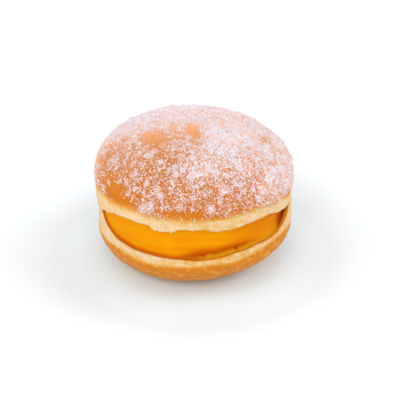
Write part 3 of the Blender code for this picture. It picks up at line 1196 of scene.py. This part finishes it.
@dataclass(frozen=True)
class SugarFinish:
    """White sugar with a faint rosy cast from the crust under it."""

    name: str
    peach: Colour = linear(222, 150, 98)
    cream: Colour = linear(234, 192, 160)
    rosy: Colour = linear(227, 199, 200)
    white: Colour = linear(243, 233, 238)
    thick_steps: tuple[float, ...] = (0.17, 0.42, 0.68, 0.96)
    roughness: float = 0.4
    specular: float = 0.3
    softness: Softness = Softness(0.3, (1.0, 0.8, 0.7), 0.0006)

    def make(self) -> bpy.types.Material:
        """Build the material, in which crust shows through where the grains lie thin."""
        board = Board(self.name)
        tones = (self.peach, self.cream, self.rosy, self.white)
        colour = board.ramp(board.painted(Layer.SUGAR_AND_SHEEN), self.thick_steps, tones)
        board.surface(colour, self.roughness, self.specular)
        board.soften(self.softness)
        return board.material


@dataclass(frozen=True)
class SugarKind:
    """One kind of sugar grain, scattered over the dome as a single joined mesh."""

    name: str
    shape: GrainShape
    count: int
    size: tuple[float, float]
    seed: int
    flatness: tuple[float, float] = (0.6, 1.0)
    sunk: float = 0.3
    keenness: float = 1.0
    clumps: int = 0
    spread: tuple[float, float] = (0.0, 0.0)
    pile: float = 0.0
    tint: float = 0.24
    clumped_white: float = 0.5
    variants: int = 12
    chipping: float = 0.22
    stretch: tuple[float, float] = (0.75, 1.25)
    lean: float = 0.35

    def prototype(self, draw: random.Random) -> tuple[np.ndarray, np.ndarray]:
        """One chipped grain of about unit radius.

        Args:
            draw: Seeded source of the grain's chips.

        Returns:
            Its corners, and the corners of each of its triangles.
        """
        grain = bmesh.new()
        if self.shape is GrainShape.SPLINTER:
            bmesh.ops.create_uvsphere(grain, u_segments=4, v_segments=2, radius=1.0)
        else:
            bmesh.ops.create_cube(grain, size=1.4)
        for vertex in grain.verts:
            vertex.co *= 1.0 + draw.uniform(-self.chipping, self.chipping)
        bmesh.ops.triangulate(grain, faces=grain.faces)
        bmesh.ops.recalc_face_normals(grain, faces=grain.faces)
        corners = np.array([vertex.co[:] for vertex in grain.verts])
        faces = np.array([[vertex.index for vertex in face.verts] for face in grain.faces])
        grain.free()
        return corners, faces


@dataclass(frozen=True)
class Surface:
    """The dome's triangles, ready for drawing random places on it."""

    points: np.ndarray
    normals: np.ndarray
    cover: np.ndarray
    triangles: np.ndarray
    shares: np.ndarray

    @classmethod
    def of(cls, mesh: bpy.types.Mesh, lowest: float) -> "Surface":
        """Read the triangles that lie above a height.

        Args:
            mesh: Mesh of the upper half, painted with its sugar cover.
            lowest: Height below which no sugar falls.

        Returns:
            The surface, with each triangle's share of its area.
        """
        def column(source: object, name: str, width: int, kind: type) -> np.ndarray:
            """One property of many elements as rows."""
            flat = np.empty(len(source) * width, dtype=kind)
            source.foreach_get(name, flat)
            return flat.reshape(-1, width) if width > 1 else flat

        mesh.calc_loop_triangles()
        points = column(mesh.vertices, "co", 3, np.float32)
        normals = column(mesh.vertices, "normal", 3, np.float32)
        cover = column(mesh.attributes[Layer.DUST.value].data, "value", 1, np.float32)
        triangles = column(mesh.loop_triangles, "vertices", 3, np.int32)
        triangles = triangles[points[triangles][:, :, 2].min(axis=1) > lowest]
        sides = points[triangles]
        areas = np.linalg.norm(np.cross(sides[:, 1] - sides[:, 0], sides[:, 2] - sides[:, 0]), axis=1)
        return cls(points, normals, cover, triangles, areas / areas.sum())

    def draw(self, count: int, keenness: float, rng: np.random.Generator) -> tuple[np.ndarray, ...]:
        """Draw places that are the denser, the thicker the sugar lies.

        Args:
            count: How many places are drawn.
            keenness: Power of the cover that the density follows.
            rng: Seeded source of the places.

        Returns:
            The places, and the surface normals and the cover there.
        """
        mean = self.cover[self.triangles].mean(axis=1)
        weight = self.shares * mean ** keenness
        picked = self.triangles[rng.choice(len(self.triangles), size=count, p=weight / weight.sum())]
        parts = rng.dirichlet((1.0, 1.0, 1.0), size=count)
        spots = np.einsum("ij,ijk->ik", parts, self.points[picked])
        facing = np.einsum("ij,ijk->ik", parts, self.normals[picked])
        cover = np.einsum("ij,ij->i", parts, self.cover[picked])
        return spots, facing / np.linalg.norm(facing, axis=1)[:, None], cover


@dataclass
class SugarScatter:
    """Places every kind of sugar on the dome and joins each kind into one mesh."""

    cover: SugarCover
    kinds: tuple[SugarKind, ...]
    below_edge: float = 0.002

    def build(self, dome: bpy.types.Object, material: bpy.types.Material) -> list[bpy.types.Object]:
        """Scatter all kinds over the dome.

        Args:
            dome: The dressed upper half.
            material: Finish of the sugar.

        Returns:
            One object for each kind.
        """
        surface = Surface.of(dome.data, self.cover.edge - self.below_edge)
        return [self.scatter(kind, surface, dome, material) for kind in self.kinds]

    def places(
        self, kind: SugarKind, surface: Surface, dome: bpy.types.Object, rng: np.random.Generator,
    ) -> tuple[np.ndarray, ...]:
        """Draw where the grains of one kind lie.

        Args:
            kind: The kind of grain.
            surface: The dome's triangles.
            dome: The dressed upper half, on which clumped grains are set down.
            rng: Seeded source of the places.

        Returns:
            Places, surface normals, cover, and how high each grain lies in its clump.
        """
        if not kind.clumps:
            spots, facing, cover = surface.draw(kind.count, kind.keenness, rng)
            return spots, facing, cover, np.zeros(kind.count)
        centres, _, cover = surface.draw(kind.clumps, kind.keenness, rng)
        spreads = rng.uniform(kind.spread[0], kind.spread[1], kind.clumps)
        shares = spreads ** 2 / (spreads ** 2).sum()
        owner = rng.choice(kind.clumps, size=kind.count, p=shares)
        away = rng.normal(0.0, 1.0, (kind.count, 3)) * spreads[owner][:, None]
        spots, facing = [], []
        for start in centres[owner] + away:
            _, spot, normal, _ = dome.closest_point_on_mesh(Vector(start))
            spots.append(spot)
            facing.append(normal)
        reach = np.linalg.norm(away, axis=1) / spreads[owner]
        height = kind.pile * spreads[owner] * np.exp(-reach ** 2 / 2.0) * rng.random(kind.count)
        white = (1.0 - kind.clumped_white) * cover[owner] + kind.clumped_white
        return np.array(spots), np.array(facing), white, height

    def scatter(
        self, kind: SugarKind, surface: Surface, dome: bpy.types.Object, material: bpy.types.Material,
    ) -> bpy.types.Object:
        """Make one kind of sugar as a joined mesh.

        Args:
            kind: The kind of grain.
            surface: The dome's triangles.
            dome: The dressed upper half.
            material: Finish of the sugar.

        Returns:
            The joined grains.
        """
        rng = np.random.default_rng(kind.seed)
        draw = random.Random(kind.seed)
        spots, normals, cover, height = self.places(kind, surface, dome, rng)
        axes = self.turned_axes(normals, kind.lean, rng)
        size = rng.uniform(kind.size[0], kind.size[1], len(spots)) / 2.0
        stretch = rng.uniform(kind.stretch[0], kind.stretch[1], (len(spots), 3))
        stretch[:, 2] *= rng.uniform(kind.flatness[0], kind.flatness[1], len(spots))
        stretch *= size[:, None]
        lift = stretch[:, 2] * (1.0 - 2.0 * kind.sunk) + height
        centres = spots + normals * lift[:, None]
        whiteness = cover + rng.normal(0.0, kind.tint, len(spots))
        variants = [kind.prototype(draw) for _ in range(kind.variants)]
        corners, faces, sugar_and_sheen = [], [], []
        offset = 0
        for index, centre in enumerate(centres):
            shape, triangles = variants[index % kind.variants]
            corners.append((shape * stretch[index]) @ axes[index] + centre)
            faces.append(triangles + offset)
            sugar_and_sheen.append(np.full(len(shape), whiteness[index]))
            offset += len(shape)
        joined = bpy.data.meshes.new(kind.name)
        joined.from_pydata(np.concatenate(corners).tolist(), [], np.concatenate(faces).tolist())
        layer = joined.attributes.new(Layer.SUGAR_AND_SHEEN.value, "FLOAT", "POINT")
        layer.data.foreach_set("value", np.concatenate(sugar_and_sheen).astype(np.float32))
        joined.materials.append(material)
        piece = bpy.data.objects.new(kind.name, joined)
        bpy.context.scene.collection.objects.link(piece)
        return piece

    @staticmethod
    def turned_axes(normals: np.ndarray, lean: float, rng: np.random.Generator) -> np.ndarray:
        """Frames whose last axis leans about the surface normal, turned at random round it."""
        leaning = normals + rng.normal(0.0, lean, normals.shape)
        up = leaning / np.linalg.norm(leaning, axis=1)[:, None]
        side = np.cross(up, rng.normal(0.0, 1.0, normals.shape))
        side /= np.linalg.norm(side, axis=1)[:, None]
        return np.stack((side, np.cross(up, side), up), axis=1)


@dataclass(frozen=True)
class SugarLumps:
    """Lumps of sugar baked onto the dome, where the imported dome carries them."""

    seed: int = 31
    count: int = 140
    draws: int = 6000
    spacing: float = 0.0026
    radius: tuple[float, float] = (0.0006, 0.0012)
    flatness: tuple[float, float] = (0.45, 0.7)
    stretch: tuple[float, float] = (0.8, 1.3)
    sunk: float = 0.25
    edge: float = 0.0445
    whiteness: float = 0.30
    whitening: float = 0.62
    dusting: tuple[float, float] = (0.30, 0.70)
    heap: tuple[float, float, float] = (0.010, -0.016, 0.021)
    away_from_heap: float = 0.35
    bare: tuple[tuple[tuple[float, float, float], float], ...] = (
        ((-0.0367, -0.0223, 0.0465), 0.0075),
        ((-0.0005, -0.0035, 0.0626), 0.0045),
        ((-0.0195, -0.0050, 0.0605), 0.0045),
    )
    grain: Wrinkle = Wrinkle(2.2, 0.32)
    fine_grain: Wrinkle = Wrinkle(5.0, 0.20, 3.0)

    def thickness(self, point: Vector) -> float:
        """How thickly lumps lie at a place on the dome, from 0 to 1."""
        if point.z < self.edge:
            return 0.0
        x, y, spread = self.heap
        heaped = math.exp(-((point.x - x) ** 2 + (point.y - y) ** 2) / spread ** 2)
        cover = self.away_from_heap + (1.0 - self.away_from_heap) * heaped
        for place, size in self.bare:
            cover *= 1.0 - math.exp(-((point - Vector(place)).length / size) ** 4)
        return cover

    def places(self, dome: bpy.types.Object, outer: float, above: float) -> list[tuple[Vector, Vector]]:
        """Draw the lumps' places, spaced apart.

        Args:
            dome: The dressed upper half.
            outer: Radius within which lumps fall.
            above: Height from which they fall.

        Returns:
            Points on the dome, each with the surface normal there.
        """
        draw = random.Random(self.seed)
        places = []
        for _ in range(self.draws):
            radius = outer * math.sqrt(draw.random())
            angle = draw.uniform(-math.pi, math.pi)
            keep = draw.random()
            start = Vector((radius * math.cos(angle), radius * math.sin(angle), above))
            found, point, normal, _ = dome.ray_cast(start, Vector((0.0, 0.0, -1.0)))
            if not found or keep > self.thickness(point):
                continue
            if any((point - other).length < self.spacing for other, _ in places):
                continue
            places.append((point.copy(), normal.copy()))
            if len(places) == self.count:
                break
        return places

    def build(
        self, dome: bpy.types.Object, form: DoughForm, cover: SugarCover, material: bpy.types.Material,
    ) -> bpy.types.Object:
        """Make all the lumps as one mesh.

        Args:
            dome: The dressed upper half.
            form: The doughnut's form.
            cover: Sugar round the lumps, which they are as white as.
            material: Finish of the sugar.

        Returns:
            The joined lumps.
        """
        draw = random.Random(self.seed + 1)
        shell = bmesh.new()
        sugar_and_sheen = shell.verts.layers.float.new(Layer.SUGAR_AND_SHEEN.value)
        dust = shell.verts.layers.float.new(Layer.DUST.value)
        for point, normal in self.places(dome, form.upper_radius, 2.0 * form.dome_start):
            size = draw.uniform(*self.radius)
            flatness = draw.uniform(*self.flatness)
            stretch = draw.uniform(*self.stretch)
            spin = Matrix.Rotation(draw.uniform(0.0, 2.0 * math.pi), 4, "Z")
            turn = normal.to_track_quat("Z", "Y").to_matrix().to_4x4()
            scale = Matrix.Diagonal((size * stretch, size / stretch, size * flatness, 1.0))
            centre = point - normal * size * flatness * self.sunk
            around = cover.at(point)
            lump = bmesh.ops.create_icosphere(shell, subdivisions=3, radius=1.0)["verts"]
            for vertex in lump:
                shift = vertex.co + Vector((0.0, 0.0, len(shell.verts)))
                vertex.co *= 1.0 + self.grain.at(shift) + self.fine_grain.at(shift)
                vertex[sugar_and_sheen] = self.whiteness + self.whitening * around
                vertex[dust] = self.dusting[0] + self.dusting[1] * around
            laid = Matrix.Translation(centre) @ turn @ spin @ scale
            bmesh.ops.transform(shell, matrix=laid, verts=lump)
        return finished("sugar_lumps", shell, material)


@dataclass(frozen=True)
class Softbox:
    """One large area light."""

    name: str
    azimuth: float
    elevation: float
    power: float
    distance: float = 1.2
    width: float = 0.8

    def build(self, target: Vector) -> None:
        """Place the light on its bearing and aim it at the target."""
        away = outward(self.azimuth, self.elevation)
        data = bpy.data.lights.new(self.name, "AREA")
        data.shape = "SQUARE"
        data.size = self.width
        data.energy = self.power
        data.color = LAMP_COLOUR
        lamp = bpy.data.objects.new(self.name, data)
        lamp.location = target + away * self.distance
        lamp.rotation_euler = (-away).to_track_quat("-Z", "Y").to_euler()
        bpy.context.scene.collection.objects.link(lamp)


@dataclass
class Studio:
    """Pale floor, soft lights and the photograph's camera."""

    photo_width_px: float = 400.0
    doughnut_width_px: float = 196.5
    doughnut_width: float = 0.088
    camera_azimuth: float = -10.0
    camera_elevation: float = 30.0
    camera_distance: float = 0.700
    aim_height: float = 0.0262
    aim_right: float = 0.00267
    sensor_width: float = 36.0
    clip: tuple[float, float] = (0.01, 20.0)
    floor_size: float = 6.0
    floor_roughness: float = 0.8
    painted_shadow_reach: float = 0.13
    painted_shadow_steps: tuple[float, ...] = (0.26, 0.48, 0.86)
    # Painted floor shade: cool near the dough against its warm bounce light, a painted shadow round it,
    # pale beyond
    tones: tuple[Colour, ...] = (linear(234, 249, 252), linear(228, 229, 231), linear(254, 251, 249))
    world_strength: float = 0.50
    lights: tuple[Softbox, ...] = (
        Softbox("front_softbox", -12.0, 30.0, 6.1),
        Softbox("front_left_softbox", -50.0, 36.0, 2.1),
        Softbox("left_softbox", -82.0, 28.0, 3.0),
        Softbox("back_left_softbox", -145.0, 30.0, 1.6),
        Softbox("back_right_softbox", 145.0, 30.0, 2.1),
        Softbox("right_softbox", 82.0, 28.0, 5.4),
        Softbox("overhead_softbox", 0.0, 86.0, 2.6),
    )

    def build(self) -> None:
        """Make the floor, the lights, the world and the camera."""
        self.floor()
        for light in self.lights:
            light.build(Vector((0.0, 0.0, self.aim_height)))
        world = bpy.data.worlds.new("studio_world")
        world.use_nodes = True
        background = world.node_tree.nodes["Background"]
        background.inputs["Color"].default_value = (*LAMP_COLOUR, 1.0)
        background.inputs["Strength"].default_value = self.world_strength
        bpy.context.scene.world = world
        bpy.context.scene.view_settings.view_transform = "Standard"
        self.camera()

    def floor(self) -> None:
        """Large pale floor, painted cooler under the dough and a little darker round it as shadow."""
        sheet = bmesh.new()
        bmesh.ops.create_grid(sheet, x_segments=1, y_segments=1, size=self.floor_size / 2)
        board = Board("studio_floor")
        away = board.add("ShaderNodeVectorMath", operation="LENGTH")
        board.join(board.coordinates(), away.inputs[0])
        reach = board.math("DIVIDE", away.outputs["Value"], self.painted_shadow_reach, clamp=True)
        board.surface(board.ramp(reach, self.painted_shadow_steps, self.tones), self.floor_roughness, 0.0)
        finished("studio_floor", sheet, board.material)

    def camera(self) -> None:
        """Camera at the photograph's angle, distance and framing."""
        turned = math.radians(self.camera_azimuth)
        back = outward(self.camera_azimuth, self.camera_elevation)
        right = Vector((math.cos(turned), math.sin(turned), 0.0))
        aim = Vector((0.0, 0.0, self.aim_height)) + right * self.aim_right
        field_width = self.photo_width_px / self.doughnut_width_px * self.doughnut_width
        data = bpy.data.cameras.new("photo_camera")
        data.sensor_width = self.sensor_width
        data.lens = self.sensor_width * self.camera_distance / field_width
        data.clip_start, data.clip_end = self.clip
        data.dof.use_dof = False
        lens = bpy.data.objects.new("photo_camera", data)
        turn = Matrix((right, back.cross(right), back)).transposed().to_4x4()
        lens.matrix_world = Matrix.Translation(aim + back * self.camera_distance) @ turn
        bpy.context.scene.collection.objects.link(lens)
        bpy.context.scene.camera = lens


@dataclass
class Berliner:
    """The whole doughnut: two halves of dough, custard and sugar."""

    form: DoughForm = DoughForm()
    cover: SugarCover = SugarCover()
    lumps: SugarLumps = SugarLumps()
    sugar: tuple[SugarKind, ...] = (
        SugarKind("sugar_fine", GrainShape.SPLINTER, 20000, (0.00028, 0.00046), 11, keenness=1.3),
        SugarKind("sugar_dusting", GrainShape.SPLINTER, 22000, (0.00024, 0.00036), 15, keenness=0.7),
        SugarKind("sugar_crystals", GrainShape.CRYSTAL, 11500, (0.00042, 0.00080), 12, keenness=0.9),
        SugarKind(
            "sugar_clumps", GrainShape.CRYSTAL, 10000, (0.00034, 0.00062), 13,
            keenness=1.6, clumps=800, spread=(0.0003, 0.0009), pile=0.5,
        ),
    )
    lump_grains: tuple[SugarKind, ...] = (
        SugarKind("sugar_lump_grains", GrainShape.CRYSTAL, 7000, (0.00040, 0.00076), 14, sunk=0.2),
    )

    def build(self) -> None:
        """Build, dress and place every piece."""
        crust = DoughFinish("sugared_crust").make(dusted=True)
        brown = DoughFinish(
            "browned_crust",
            brown=linear(221, 147, 51),
            deep=linear(202, 120, 33),
            mottle=1.7,
            streaks=0.7,
        ).make(dusted=False)
        custard = CustardFinish().make()
        sugar = SugarFinish("sugar").make()
        bottom = BottomHalf(self.form).build(brown)
        place(bottom, Slot.BROWNED_CRUST, Node.BOTTOM_HALF)
        filling = CustardFilling(self.form).build(custard)
        place(filling, Slot.CUSTARD, Node.FILLING)
        top = TopHalf(self.form, self.cover).build(crust)
        place(top, Slot.SUGARED_CRUST, Node.TOP_HALF)
        lumps = self.lumps.build(top, self.form, self.cover, sugar)
        place(lumps, Slot.SUGARED_CRUST)
        for carrier, kinds in ((top, self.sugar), (lumps, self.lump_grains)):
            for piece in SugarScatter(self.cover, kinds).build(carrier, sugar):
                place(piece, Slot.SUGARED_CRUST)


def main() -> None:
    """Build the doughnut and its studio."""
    logging.basicConfig(level=logging.INFO, format="%(message)s")
    Berliner().build()
    Studio().build()


if __name__ == "__main__":
    main()
